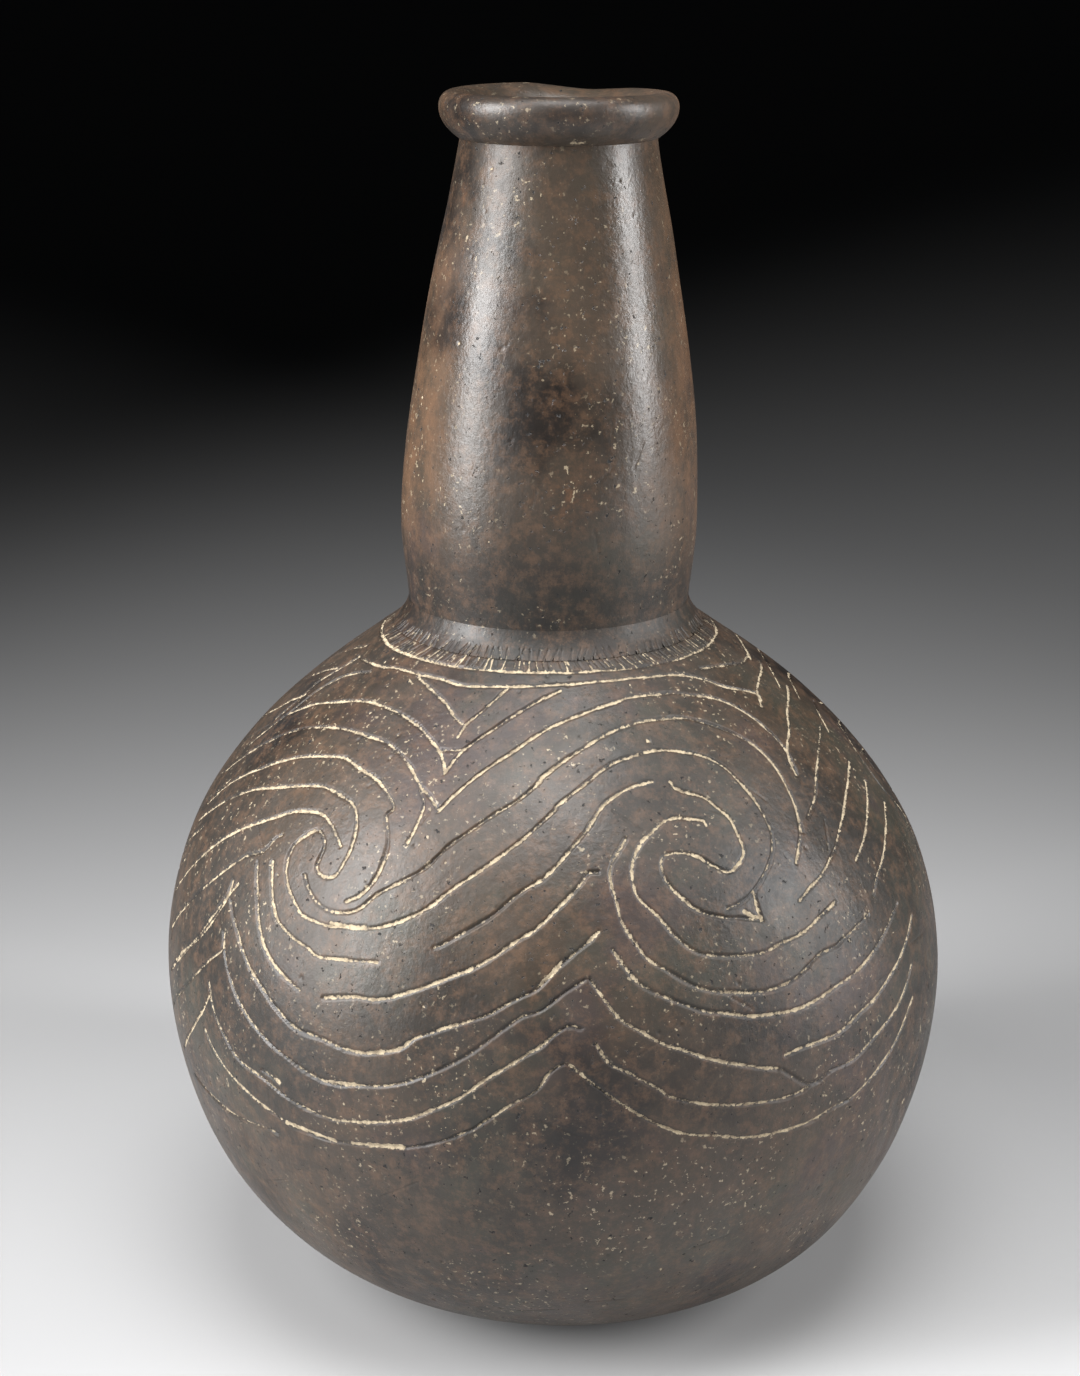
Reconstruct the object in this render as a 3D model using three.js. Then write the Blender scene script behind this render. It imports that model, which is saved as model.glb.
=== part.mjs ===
// Long-necked pottery bottle, built up from rolled clay coils, with a rolled lip.
// Millimetres, +Z up. The floor is Z = 0 and the origin is under the middle of the belly.
// Every coil is its own ring. Neighbours meet on a bevelled lap and share its corners exactly.

import * as THREE from 'three';

// Outside of the wall
const TOTAL_HEIGHT = 250;
const FOOT_RADIUS = 30;
const BELLY_RADIUS = 82.7;
const BELLY_HEIGHT = 68;
const NECK_BASE_RADIUS = 28.9;
const NECK_BASE_HEIGHT = 144.5;
const NECK_BULGE_RADIUS = 30.6;
const NECK_BULGE_HEIGHT = 165;
const NECK_WAIST_RADIUS = 19.6;

// Rolled lip
const LIP_HEIGHT = 9.5;
const LIP_RADIUS = 23.8;
const LIP_CREST_RADIUS = 21;
const LIP_WIDEST_BELOW_TOP = 3;

// Wall, coils and the clay pressed into the corner where the neck stands on the shoulder
const WALL = 5.5;
const BODY_COILS = 11;
const NECK_COILS = 6;
const COIL_LAP = 4;
const FILLET_ON_SHOULDER = 4;
const FILLET_ON_NECK = 3;

// Slopes of the outline, and how full its curves are, as shares of the span they cross
const FOOT_SLOPE = THREE.MathUtils.degToRad(2.8);
const SHOULDER_SLOPE = THREE.MathUtils.degToRad(33);
const FOOT_FULLNESS = 0.68;
const LOWER_BELLY_FULLNESS = 0.444;
const UPPER_BELLY_FULLNESS = 0.464;
const SHOULDER_FULLNESS = 0.688;
const NECK_BASE_FULLNESS = 0.3;
const NECK_BULGE_FULLNESS = 0.38;
const NECK_WAIST_FULLNESS = 0.04;
const LIP_FULLNESS = 0.55;

// A hand-built bottle stands a little askew: how far its centre line lies along +X
const FOOT_SHIFT = 2.5;
const NECK_BASE_SHIFT = -1;
const LIP_SHIFT = 0.9;

// Facets round each ring
const SIDES = 40;

// Heights and radii that follow from the sizes above
const NECK_WAIST_HEIGHT = TOTAL_HEIGHT - LIP_HEIGHT;
const LIP_WIDEST_HEIGHT = TOTAL_HEIGHT - LIP_WIDEST_BELOW_TOP;
const MOUTH_RADIUS = NECK_WAIST_RADIUS - WALL;

function point(radius, height) {
  return new THREE.Vector2(radius, height);
}

// Outline of the body, from the edge of the foot to the base of the neck
function bodyOutline() {
  const footReach = FOOT_FULLNESS * (BELLY_RADIUS - FOOT_RADIUS);
  const shoulderReach = SHOULDER_FULLNESS * (BELLY_RADIUS - NECK_BASE_RADIUS);
  const upperSpan = NECK_BASE_HEIGHT - BELLY_HEIGHT;
  const outline = new THREE.CurvePath();
  outline.add(new THREE.CubicBezierCurve(
    point(FOOT_RADIUS, 0),
    point(FOOT_RADIUS + footReach * Math.cos(FOOT_SLOPE), footReach * Math.sin(FOOT_SLOPE)),
    point(BELLY_RADIUS, BELLY_HEIGHT - LOWER_BELLY_FULLNESS * BELLY_HEIGHT),
    point(BELLY_RADIUS, BELLY_HEIGHT),
  ));
  outline.add(new THREE.CubicBezierCurve(
    point(BELLY_RADIUS, BELLY_HEIGHT),
    point(BELLY_RADIUS, BELLY_HEIGHT + UPPER_BELLY_FULLNESS * upperSpan),
    point(
      NECK_BASE_RADIUS + shoulderReach * Math.cos(SHOULDER_SLOPE),
      NECK_BASE_HEIGHT - shoulderReach * Math.sin(SHOULDER_SLOPE),
    ),
    point(NECK_BASE_RADIUS, NECK_BASE_HEIGHT),
  ));
  return outline;
}

// Outline of the neck, from the shoulder to the waist under the lip
function neckOutline() {
  const lowerSpan = NECK_BULGE_HEIGHT - NECK_BASE_HEIGHT;
  const upperSpan = NECK_WAIST_HEIGHT - NECK_BULGE_HEIGHT;
  const outline = new THREE.CurvePath();
  outline.add(new THREE.CubicBezierCurve(
    point(NECK_BASE_RADIUS, NECK_BASE_HEIGHT),
    point(NECK_BASE_RADIUS, NECK_BASE_HEIGHT + NECK_BASE_FULLNESS * lowerSpan),
    point(NECK_BULGE_RADIUS, NECK_BULGE_HEIGHT - NECK_BULGE_FULLNESS * lowerSpan),
    point(NECK_BULGE_RADIUS, NECK_BULGE_HEIGHT),
  ));
  outline.add(new THREE.CubicBezierCurve(
    point(NECK_BULGE_RADIUS, NECK_BULGE_HEIGHT),
    point(NECK_BULGE_RADIUS, NECK_BULGE_HEIGHT + NECK_BULGE_FULLNESS * upperSpan),
    point(NECK_WAIST_RADIUS, NECK_WAIST_HEIGHT - NECK_WAIST_FULLNESS * upperSpan),
    point(NECK_WAIST_RADIUS, NECK_WAIST_HEIGHT),
  ));
  return outline;
}

// Point on the inside of the wall, straight in from the outline at the share u of its length
function inside(outline, u) {
  const along = outline.getTangentAt(u);
  const inward = new THREE.Vector2(-along.y, along.x);
  return outline.getPointAt(u).addScaledVector(inward, WALL);
}

const body = bodyOutline();
const neck = neckOutline();
const bodyLap = COIL_LAP / body.getLength();
const neckLap = COIL_LAP / neck.getLength();
const filletStart = 1 - FILLET_ON_SHOULDER / body.getLength();
const filletEnd = FILLET_ON_NECK / neck.getLength();

// Where the insides of the shoulder and the neck cross, and the inside of the waist
const neckBaseInside = point(
  NECK_BASE_RADIUS - WALL,
  NECK_BASE_HEIGHT - WALL * (1 - Math.sin(SHOULDER_SLOPE)) / Math.cos(SHOULDER_SLOPE),
);
const waistInside = point(MOUTH_RADIUS, NECK_WAIST_HEIGHT);

// Inner corner of the joint at the share u of the body's outline
function bodyJointInside(u) {
  if (u === 0) return inside(body, 0);
  if (u === 1) return neckBaseInside;
  return inside(body, u + bodyLap);
}

// Inner corner of the joint at the share u of the neck's outline
function neckJointInside(u) {
  if (u === 0) return neckBaseInside;
  if (u === 1) return waistInside;
  return inside(neck, u - neckLap);
}

// How far the centre line lies along +X at a height
function shiftAt(height) {
  const step = THREE.MathUtils.smoothstep;
  const foot = FOOT_SHIFT * (1 - Math.min(height / BELLY_HEIGHT, 1)) ** 2;
  const base = NECK_BASE_SHIFT * step(height, BELLY_HEIGHT, NECK_BASE_HEIGHT);
  const lip = (LIP_SHIFT - NECK_BASE_SHIFT) * step(height, NECK_BASE_HEIGHT, TOTAL_HEIGHT);
  return foot + base + lip;
}

// Solid ring or disc from a section that runs up the outside and down the inside
function ring(name, section, material) {
  const onAxis = section[0].x === 0;
  const profile = onAxis ? section : [...section, section[0].clone()];
  const geometry = new THREE.LatheGeometry(profile, SIDES);
  geometry.rotateX(Math.PI / 2);
  const place = geometry.attributes.position;
  for (let i = 0; i < place.count; i += 1) {
    place.setX(i, place.getX(i) + shiftAt(place.getZ(i)));
  }
  const mesh = new THREE.Mesh(geometry, material);
  mesh.name = name;
  return mesh;
}

// Fired clay, dark and smoke-stained, browner towards the neck
function clay(colour, roughness) {
  return new THREE.MeshStandardMaterial({ color: colour, roughness, metalness: 0 });
}

function coilName(part, index) {
  return `${part}_coil_${String(index + 1).padStart(2, '0')}`;
}

const group = new THREE.Group();

// Flat disc that the pot was started on
group.add(ring('base_disc', [
  point(0, 0),
  body.getPointAt(0),
  bodyJointInside(0),
  point(0, bodyJointInside(0).y),
], clay('#3a342e', 0.55)));

// Coils of the round body
for (let i = 0; i < BODY_COILS; i += 1) {
  const low = i / BODY_COILS;
  const high = (i + 1) / BODY_COILS;
  const middle = high === 1 ? filletStart : (low + high) / 2;
  group.add(ring(coilName('body', i), [
    body.getPointAt(low),
    body.getPointAt(middle),
    body.getPointAt(high),
    bodyJointInside(high),
    inside(body, (low + high) / 2 + bodyLap / 2),
    bodyJointInside(low),
  ], clay('#413a33', 0.5)));
}

// Thin coil pressed into the corner between shoulder and neck
group.add(ring('neck_joint_coil', [
  body.getPointAt(filletStart),
  neck.getPointAt(filletEnd),
  body.getPointAt(1),
], clay('#443b32', 0.55)));

// Coils of the neck
for (let i = 0; i < NECK_COILS; i += 1) {
  const low = i / NECK_COILS;
  const high = (i + 1) / NECK_COILS;
  const middle = low === 0 ? filletEnd : (low + high) / 2;
  group.add(ring(coilName('neck', i), [
    neck.getPointAt(low),
    neck.getPointAt(middle),
    neck.getPointAt(high),
    neckJointInside(high),
    inside(neck, (low + high) / 2 - neckLap / 2),
    neckJointInside(low),
  ], clay('#4d4033', 0.5)));
}

// Rolled lip: out from the waist, over the crest and down into the mouth
function lipSection() {
  const outward = LIP_RADIUS - NECK_WAIST_RADIUS;
  const under = LIP_WIDEST_HEIGHT - NECK_WAIST_HEIGHT;
  const lip = new THREE.Path();
  lip.moveTo(NECK_WAIST_RADIUS, NECK_WAIST_HEIGHT);
  lip.bezierCurveTo(
    NECK_WAIST_RADIUS + LIP_FULLNESS * outward, NECK_WAIST_HEIGHT,
    LIP_RADIUS, LIP_WIDEST_HEIGHT - LIP_FULLNESS * under,
    LIP_RADIUS, LIP_WIDEST_HEIGHT,
  );
  lip.bezierCurveTo(
    LIP_RADIUS, LIP_WIDEST_HEIGHT + LIP_FULLNESS * LIP_WIDEST_BELOW_TOP,
    LIP_CREST_RADIUS + LIP_FULLNESS * (LIP_RADIUS - LIP_CREST_RADIUS), TOTAL_HEIGHT,
    LIP_CREST_RADIUS, TOTAL_HEIGHT,
  );
  lip.bezierCurveTo(
    LIP_CREST_RADIUS - LIP_FULLNESS * (LIP_CREST_RADIUS - MOUTH_RADIUS), TOTAL_HEIGHT,
    MOUTH_RADIUS, NECK_WAIST_HEIGHT + LIP_FULLNESS * LIP_HEIGHT,
    MOUTH_RADIUS, NECK_WAIST_HEIGHT,
  );
  return lip.getPoints(4);
}

group.add(ring('rim_coil', lipSection(), clay('#463c32', 0.5)));

export default group;
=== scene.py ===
# Engraved long-necked pottery bottle on a pale floor. Metres, +Z up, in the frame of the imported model.
import math

import bpy
import numpy as np
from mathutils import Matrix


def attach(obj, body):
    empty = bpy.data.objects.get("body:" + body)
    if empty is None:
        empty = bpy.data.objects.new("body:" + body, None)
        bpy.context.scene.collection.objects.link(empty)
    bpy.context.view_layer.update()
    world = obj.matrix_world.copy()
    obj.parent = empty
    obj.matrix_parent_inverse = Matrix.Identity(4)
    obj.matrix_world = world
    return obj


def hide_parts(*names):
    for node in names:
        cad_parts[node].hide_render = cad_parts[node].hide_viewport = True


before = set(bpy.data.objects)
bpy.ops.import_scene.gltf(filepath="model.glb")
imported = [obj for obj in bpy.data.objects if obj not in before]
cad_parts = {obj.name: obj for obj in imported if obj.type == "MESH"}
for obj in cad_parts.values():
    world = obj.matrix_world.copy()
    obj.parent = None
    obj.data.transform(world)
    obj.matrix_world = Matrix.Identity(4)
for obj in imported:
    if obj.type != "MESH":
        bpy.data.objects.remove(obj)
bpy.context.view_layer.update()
RANDOM_SEED = 11
rng = np.random.default_rng(RANDOM_SEED)

# Camera, from the outline in the photograph
IMAGE_WIDTH = 1080
IMAGE_HEIGHT = 1376
FOCAL_PX = 2588
AXIS_PX = 554
CAMERA_BACK = 0.520
CAMERA_HEIGHT = 0.2857
CAMERA_TILT = math.radians(16.98)
CAMERA_X = -(AXIS_PX - IMAGE_WIDTH / 2) * CAMERA_BACK / FOCAL_PX
SENSOR_MM = 36
CLIP_START = 0.01
CLIP_END = 50

# Stretch of a line of sight that is searched for the pot, and the points tried on it
RAY_NEAR = 0.3
RAY_FAR = 0.7
RAY_POINTS = 4001

# Outline of the outside, as in the solids but for a softer lip, and 0.1 to 0.2 mm inside them at
# the belly and the lip
FOOT_RADIUS = 0.030
BELLY_RADIUS = 0.0826
BELLY_HEIGHT = 0.068
NECK_BASE_RADIUS = 0.0289
NECK_BASE_HEIGHT = 0.1445
NECK_BULGE_RADIUS = 0.0306
NECK_BULGE_HEIGHT = 0.165
WAIST_RADIUS = 0.0196
WAIST_HEIGHT = 0.2405
LIP_RADIUS = 0.0237
LIP_WIDEST_HEIGHT = 0.2468
LIP_CREST_RADIUS = 0.021
TOTAL_HEIGHT = 0.2498
WALL = 0.0055
FOOT_SLOPE = math.radians(2.8)
SHOULDER_SLOPE = math.radians(33)
FOOT_REACH = 0.0358
SHOULDER_REACH = 0.0370
LOWER_BELLY_REACH = 0.0302
UPPER_BELLY_REACH = 0.0355
NECK_BASE_FULLNESS = 0.3
NECK_BULGE_FULLNESS = 0.38
NECK_WAIST_FULLNESS = 0.04
CORNER_UNDER_LIP = (0.0012, 0.0008)
REACH_UNDER_LIP = 0.0034
REACH_OVER_LIP = 0.0017
CREST_REACH_OUT = 0.0015
CREST_REACH_IN = 0.0036
MOUTH_REACH = 0.0063
BODY_COILS = 11
NECK_COILS = 6
LAP = 0.004
FILLET_ON_SHOULDER = 0.004
FILLET_ON_NECK = 0.003
FOOT_SHIFT = 0.0025
NECK_BASE_SHIFT = -0.001
LIP_SHIFT = 0.0009

# How far the crest of the lip dips, from the left round the front and the right to the back
RIM_DIP_AT_DEGREES = (-180, -135, -90, -45, 0, 44, 73, 90, 107, 145)
RIM_DIP_MM = (0.1, 0.1, 0.05, 0.2, 0.5, 0.75, 1.5, 0.8, 0.0, 0.0)
RIM_DIP_SMOOTHING = 60

# Fineness of the meshes
BODY_COLUMNS = 1536
BODY_ROWS = 54
NECK_COLUMNS = 480
NECK_ROWS = 24
PLAIN_COILS = 2
PLAIN_STEP = 3
INNER_ROWS = 6
UNDER_LIP_ROWS = 16
OVER_LIP_ROWS = 14
MOUTH_ROWS = 22
JOINT_ROWS = 24

# Undulation left by the potter's hands, and the rows over which it fades out at both ends
UNDULATION = 0.0004
BODY_FADE = 40
NECK_FADE = 20

# Engraving: half width and depth of a groove, how far to each side the traced front reaches,
# and where the same lines, turned by a unit at a time, start again round the back
GROOVE_HALF = 0.00046
GROOVE_DEPTH = 0.00050
FRONT_HALF = math.radians(84)
BEHIND_FROM = math.radians(77)
UNIT_ANGLE = math.radians(69)
UNITS_BEHIND = 4
LINE_STEP = 0.0003
LINE_WANDER = 0.00012
SPLINE_POINTS = 12
STAMP_REACH = 4
WIDTH_RANGE = (0.7, 1.25)
DEPTH_RANGE = (0.6, 1.1)
PIGMENT_SLOW_RANGE = (0.45, 1.5)
PIGMENT_QUICK_RANGE = (0.6, 1.15)
PIGMENT_EDGE = 1.2
BLOB_HALF = GROOVE_HALF * 1.35
BLOB_DEPTH = GROOVE_DEPTH * 0.6
BLOB_PIGMENT = 1.3
PIGMENT_IN_DEPTH = 0.45

# Collar round the base of the neck: two rings and short strokes between them
COLLAR_WIDTH = 0.0032
COLLAR_SWAY = 0.0004
COLLAR_TURN_POINTS = 60
COLLAR_STROKES = 190
COLLAR_TOP_SHARE = 0.98
STROKE_JITTER = 0.35
STROKE_LEAN = 0.055
STROKE_LEAN_JITTER = 0.02
STROKE_LEAN_PHASE = 0.6
STROKE_PIGMENT_RANGE = (0.4, 1.1)
STROKE_BEND = 0.0018
STROKE_PAST_TOP = 0.0012
STROKE_HALF = GROOVE_HALF * 0.6
STROKE_DEPTH = GROOVE_DEPTH * 0.4
TOP_RING_DEPTH = GROOVE_DEPTH * 0.5
TOP_RING_PIGMENT = 0.35
JOINT_STROKES = 130
JOINT_STROKE_LENGTH = 0.0022
JOINT_STROKE_HALF = 0.0003
JOINT_STROKE_DEPTH = 0.00018
JOINT_STROKE_POINTS = 14
JOINT_STROKE_LEAN_RANGE = (-0.03, 0.06)
JOINT_STROKE_PIGMENT_RANGE = (0.0, 0.6)

# Wear: pits where temper fell out, some filled, and short scratches
BODY_PITS = 420
BODY_SCRATCHES = 70
NECK_PITS = 110
NECK_SCRATCHES = 25
PIT_PLACE_RANGE = (0.02, 0.98)
PIT_HALF_RANGE = (0.0002, 0.0006)
PIT_HALF_SPREAD = (0.6, 1.2)
PIT_DEPTH_SHARE = 0.35
PITS_FILLED = 0.4
PIT_PIGMENT = 0.8
SCRATCH_PLACE_RANGE = (0.1, 0.9)
SCRATCH_POINTS = 60
SCRATCH_TURN = 0.12
SCRATCH_CLIMB = 0.006
SCRATCH_HALF = 0.00028
SCRATCH_DEPTH = 0.00012
SCRATCH_PIGMENT = 0.25

# Patches of pigment under the lip: middle and half width, as angles, and their height
LIP_PATCH_ANGLE = -1.1
LIP_PATCH_SPREAD = 0.6
LIP_PATCH_RISE = 0.0007
LIP_PATCH_HALF = 0.0012
LIP_PATCH_PIGMENT = 0.8
LIP_PATCH_INNER_EDGE = 0.001

# Lines of the design, traced over the photograph, in its pixels
LEFT_SCROLL_PX = {
    "ring": [(353, 643), (358, 654), (379, 665), (395, 667), (415, 672), (441, 679), (466, 685),
             (504, 686), (560, 684), (618, 679), (647, 676), (676, 674), (701, 678), (727, 687),
             (757, 693), (762, 706)],
    "arc_0": [(418, 676), (430, 688), (446, 703), (456, 718), (462, 723)],
    "arc_2": [(356, 657), (339, 667), (318, 680), (298, 698), (275, 718), (249, 739)],
    "arc_3": [(369, 671), (354, 672), (339, 676), (318, 688), (293, 708), (270, 726), (249, 744)],
    "arc_4": [(244, 749), (262, 728), (288, 713), (313, 703), (339, 700), (364, 700), (377, 703),
              (397, 711), (415, 723), (428, 736), (438, 749), (443, 762), (444, 772)],
    "arc_5": [(224, 772), (249, 751), (275, 737), (300, 728), (323, 726), (344, 728), (364, 734),
              (385, 741), (397, 751), (410, 767), (420, 785), (430, 797), (438, 810)],
    "arc_5_inner": [(420, 790), (423, 805), (415, 828), (407, 843)],
    "arc_6": [(208, 802), (231, 782), (257, 769), (282, 760), (303, 756), (339, 756), (354, 764),
              (374, 777), (387, 792), (393, 807), (386, 815), (388, 837), (385, 855), (377, 875),
              (362, 893), (346, 901)],
    "scroll": [(198, 820), (221, 802), (247, 791), (270, 787), (313, 785), (328, 788), (344, 797),
               (354, 807), (356, 825), (351, 846), (344, 861), (334, 876), (322, 876), (316, 866),
               (323, 848), (323, 838), (318, 830), (308, 833), (295, 843), (288, 856), (285, 871)],
    "arc_8": [(175, 889), (193, 864), (216, 843), (244, 827), (272, 818), (293, 811), (313, 811),
              (323, 815), (331, 825), (336, 836), (340, 846)],
    "arc_9": [(171, 927), (191, 899), (216, 876), (242, 857), (262, 851), (275, 838), (282, 834)],
    "arc_10": [(175, 960), (193, 940), (211, 917), (224, 899), (237, 884)],
}
LEFT_EDGE_PX = {
    "edge_1": [(171, 938), (175, 917), (196, 894), (221, 872), (234, 862)],
    "edge_2": [(171, 969), (184, 952), (204, 931), (219, 910), (227, 896), (232, 881)],
    "edge_3": [(173, 1004), (188, 982), (207, 961), (221, 950), (224, 933)],
    "edge_4": [(183, 1048), (192, 1028), (202, 1011), (209, 994)],
}
LEFT_LOOPS_PX = {
    "loop_1": [(304, 874), (308, 889), (316, 902), (328, 910), (344, 912), (359, 908), (377, 894),
               (407, 878), (428, 865), (448, 846), (466, 833), (492, 815), (517, 800), (540, 780)],
    "loop_2": [(285, 871), (288, 889), (295, 904), (303, 915), (326, 925), (354, 927), (377, 927),
               (402, 920), (428, 907), (448, 892), (476, 873), (517, 843), (538, 825), (556, 808)],
    "loop_3": [(272, 861), (271, 881), (272, 902), (277, 920), (289, 935), (307, 948), (318, 957),
               (348, 960), (377, 962)],
    "loop_3_far": [(434, 947), (441, 945), (466, 931), (492, 915), (517, 894), (540, 880)],
    "loop_4": [(257, 861), (256, 889), (260, 932), (267, 953), (277, 969), (289, 981), (299, 990)],
    "loop_4_far": [(323, 997), (351, 997), (377, 1000), (412, 991), (439, 982), (483, 963),
                   (515, 942), (536, 929), (560, 906), (580, 884), (588, 873), (599, 872)],
    "loop_5": [(230, 900), (236, 929), (248, 965), (261, 988), (277, 1010), (295, 1028), (318, 1038),
               (357, 1053), (395, 1050), (415, 1039), (442, 1029), (486, 1016), (512, 1001),
               (538, 988), (558, 967), (575, 953), (587, 944), (599, 932)],
    "loop_6": [(223, 932), (226, 965), (236, 997), (251, 1023), (269, 1044), (289, 1060), (324, 1082),
               (365, 1086), (395, 1085), (424, 1076), (439, 1070), (468, 1055), (492, 1038),
               (521, 1017), (540, 1011), (563, 994), (585, 980)],
    "loop_7": [(208, 982), (213, 1011), (225, 1038), (239, 1061), (263, 1079), (286, 1097),
               (324, 1117), (365, 1123), (404, 1120), (433, 1110), (453, 1102), (477, 1086),
               (497, 1073), (527, 1055), (540, 1047), (558, 1032), (569, 1026), (581, 1029)],
    "loop_8": [(204, 1029), (213, 1050), (228, 1073), (245, 1091), (269, 1111), (292, 1127),
               (330, 1141), (384, 1147), (409, 1148), (439, 1142), (468, 1132), (483, 1123),
               (512, 1105), (536, 1091), (549, 1073), (564, 1064), (572, 1067)],
    "loop_9": [(194, 1076), (216, 1102), (233, 1116), (260, 1127), (277, 1135)],
}
RISING_PX = {
    "rise_1": [(457, 736), (466, 723), (481, 711), (499, 695), (510, 686)],
    "rise_2": [(444, 772), (456, 756), (469, 744), (489, 731), (512, 716), (535, 702), (560, 690)],
    "rise_3": [(438, 810), (453, 795), (471, 779), (492, 764), (515, 749), (538, 734), (561, 722),
               (594, 709), (628, 698), (661, 693), (687, 694), (714, 698), (733, 705), (754, 718),
               (773, 734), (787, 750), (795, 766), (797, 773)],
    "bridge": [(438, 749), (453, 749), (466, 748)],
}
RIGHT_SCROLL_PX = {
    "arc_2": [(540, 778), (564, 760), (588, 745), (612, 731), (642, 721), (674, 717), (701, 721),
              (728, 730), (744, 738), (760, 749), (776, 766), (787, 785), (795, 801), (800, 817),
              (803, 831)],
    "arc_2_inner": [(797, 809), (801, 831), (800, 844), (797, 863)],
    "arc_3": [(556, 806), (588, 780), (607, 766), (628, 757), (653, 750), (674, 750), (695, 753),
              (714, 760), (728, 769), (744, 785), (757, 801), (768, 820), (773, 836), (772, 855),
              (765, 873), (754, 890), (741, 902), (728, 908)],
    "tail": [(754, 890), (757, 905), (762, 920)],
    "arc_4": [(540, 882), (564, 857), (588, 828), (602, 806), (618, 793), (634, 785), (653, 781)],
    "scroll": [(670, 780), (679, 789), (703, 796), (717, 806), (730, 817), (738, 833), (744, 849),
               (741, 860), (730, 871), (716, 866), (700, 857), (685, 853), (671, 853), (663, 857),
               (662, 868), (670, 885), (685, 900), (701, 911), (722, 917), (744, 918), (762, 920)],
    "arc_5": [(707, 825), (703, 820), (690, 818), (674, 817), (663, 821), (653, 831), (642, 841),
              (634, 857), (632, 876), (639, 898), (657, 915), (672, 932), (690, 948), (710, 955),
              (757, 954), (783, 943), (801, 934), (822, 915), (836, 901)],
}
RIGHT_LOOPS_PX = {
    "loop_1": [(626, 839), (612, 863), (611, 881), (618, 906), (623, 924), (636, 943), (649, 959),
               (672, 973), (693, 985), (716, 991), (740, 993), (763, 992), (784, 985), (798, 977),
               (814, 961), (823, 953), (837, 946), (846, 938), (858, 927), (869, 915)],
    "loop_2": [(613, 950), (625, 967), (640, 984), (660, 995), (681, 1003), (704, 1011), (728, 1014),
               (751, 1016), (775, 1014), (798, 1009), (822, 997), (839, 985), (857, 973), (871, 956),
               (886, 932), (898, 903)],
    "loop_3": [(590, 979), (607, 1003), (622, 1020), (643, 1032), (666, 1045), (693, 1053),
               (716, 1061), (757, 1067), (778, 1069)],
    "loop_3_far": [(786, 1055), (804, 1047), (822, 1041), (839, 1033), (857, 1017), (877, 997),
                   (895, 970), (907, 944), (913, 915)],
    "loop_3_low": [(783, 1070), (810, 1085), (833, 1070), (848, 1064), (860, 1055), (877, 1035),
                   (892, 1017), (904, 994), (913, 965)],
    "loop_4": [(596, 1044), (610, 1064), (634, 1076), (657, 1088), (675, 1099), (716, 1105),
               (763, 1102), (798, 1094), (813, 1083)],
    "loop_5": [(572, 1067), (590, 1082), (613, 1099), (637, 1114), (663, 1127), (687, 1135),
               (716, 1136), (745, 1138), (769, 1135), (789, 1130), (813, 1121), (833, 1108),
               (851, 1099), (871, 1079), (889, 1055), (901, 1032), (910, 1009), (914, 997)],
}
RIGHT_EDGE_PX = {
    "edge_0": [(701, 668), (728, 664), (741, 662), (749, 654), (753, 640)],
    "edge_1": [(766, 652), (762, 664), (760, 678), (758, 691), (762, 706)],
    "edge_2": [(786, 668), (788, 686), (788, 710), (790, 731), (788, 742), (790, 758), (797, 773)],
    "edge_3": [(815, 691), (819, 710), (821, 726), (820, 748), (817, 772), (816, 796), (808, 817)],
    "edge_4": [(837, 718), (843, 734), (851, 761), (848, 788), (843, 820), (835, 849), (824, 871),
               (811, 887), (800, 900)],
    "edge_5": [(848, 726), (861, 753), (867, 780), (869, 809), (865, 839), (857, 860)],
    "edge_6": [(865, 745), (878, 772), (886, 801), (887, 828), (884, 855), (878, 876), (874, 895)],
}
BLOBS_PX = {
    "blob_1": [(322, 1081), (337, 1083), (354, 1085)],
    "blob_2": [(350, 1050), (366, 1053), (382, 1052)],
    "blob_3": [(286, 1123), (305, 1131), (334, 1141)],
    "blob_4": [(352, 1144), (385, 1147), (402, 1148)],
    "blob_5": [(262, 1070), (270, 1076), (278, 1082)],
    "blob_6": [(536, 988), (552, 974), (562, 962)],
    "blob_7": [(330, 923), (352, 927), (366, 928)],
    "blob_8": [(745, 911), (754, 916), (762, 919)],
}


def bezier(a, b, c, d, count=400):
    """Points of a cubic curve through radius and height pairs."""
    t = np.linspace(0, 1, count)[:, None]
    a, b, c, d = (np.array(p) for p in (a, b, c, d))
    return (1 - t) ** 3 * a + 3 * (1 - t) ** 2 * t * b + 3 * (1 - t) * t ** 2 * c + t ** 3 * d


def lengths(points):
    steps = np.linalg.norm(np.diff(points, axis=0), axis=1)
    return np.concatenate([[0], np.cumsum(steps)])


def evenly(points, count):
    """The same line with count points, evenly spaced along it."""
    along = lengths(points)
    at = np.linspace(0, along[-1], count)
    return np.column_stack([np.interp(at, along, points[:, k]) for k in range(points.shape[1])])


def shift_at(z):
    """How far the centre line of the hand-built pot lies along +X."""
    def step(low, high):
        t = np.clip((z - low) / (high - low), 0, 1)
        return t * t * (3 - 2 * t)
    foot = FOOT_SHIFT * (1 - np.minimum(z / BELLY_HEIGHT, 1)) ** 2
    base = NECK_BASE_SHIFT * step(BELLY_HEIGHT, NECK_BASE_HEIGHT)
    return foot + base + (LIP_SHIFT - NECK_BASE_SHIFT) * step(NECK_BASE_HEIGHT, TOTAL_HEIGHT)


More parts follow.
